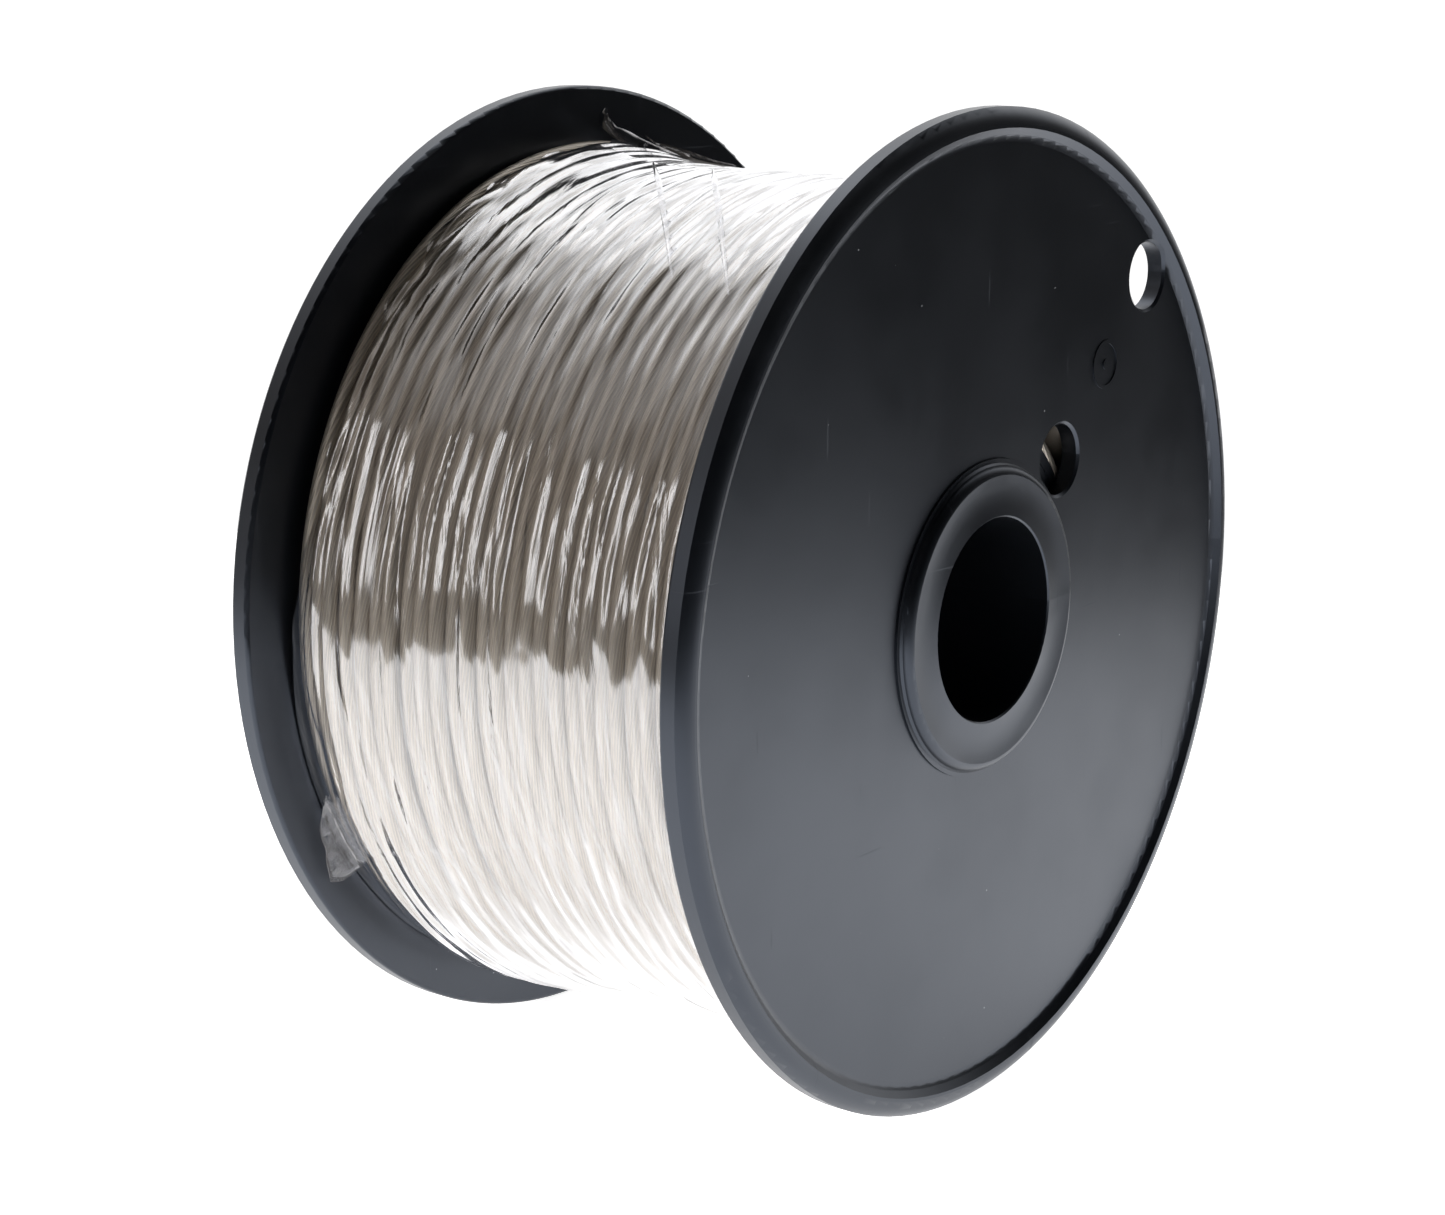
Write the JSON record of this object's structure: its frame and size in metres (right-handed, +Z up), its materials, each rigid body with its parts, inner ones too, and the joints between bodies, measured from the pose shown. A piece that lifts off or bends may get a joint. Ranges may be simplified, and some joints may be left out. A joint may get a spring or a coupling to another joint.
{
  "type": "cable spool",
  "caption": "Black moulded spool with two flanges and a ribbed barrel, fully wound with clear-sheathed stranded cable and wrapped in stretch film.",
  "frame": {"origin": "on the bore's axis, half way between the flanges", "axes": "+Y along the bore's axis towards the rear flange, +Z up when the spool stands on its rims, front flange facing -Y, hole line up and towards +X"},
  "size_m": [0.254, 0.143, 0.254],
  "materials": {
    "reel_plastic": "satin black moulded polystyrene",
    "cable": "clear smooth sheath over grey-brown twisted strands",
    "film": "glossy clear stretch film"
  },
  "bodies": {
    "root": {"flange_front": "reel_plastic", "flange_rear": "reel_plastic", "barrel": "reel_plastic", "cable_layer_01": "cable", "cable_layer_02": "cable", "cable_layer_03": "cable", "cable_layer_04": "cable", "cable_layer_05": "cable", "cable_layer_06": "cable", "cable_layer_07": "cable", "cable_layer_08": "cable", "cable_layer_09": "cable", "cable_layer_10": "cable", "cable_layer_11": "cable", "cable_layer_12": "cable", "cable_layer_13": "cable", "cable_layer_14": "cable", "cable_layer_15": "cable", "film_wrap": "film"}
  },
  "joints": []
}
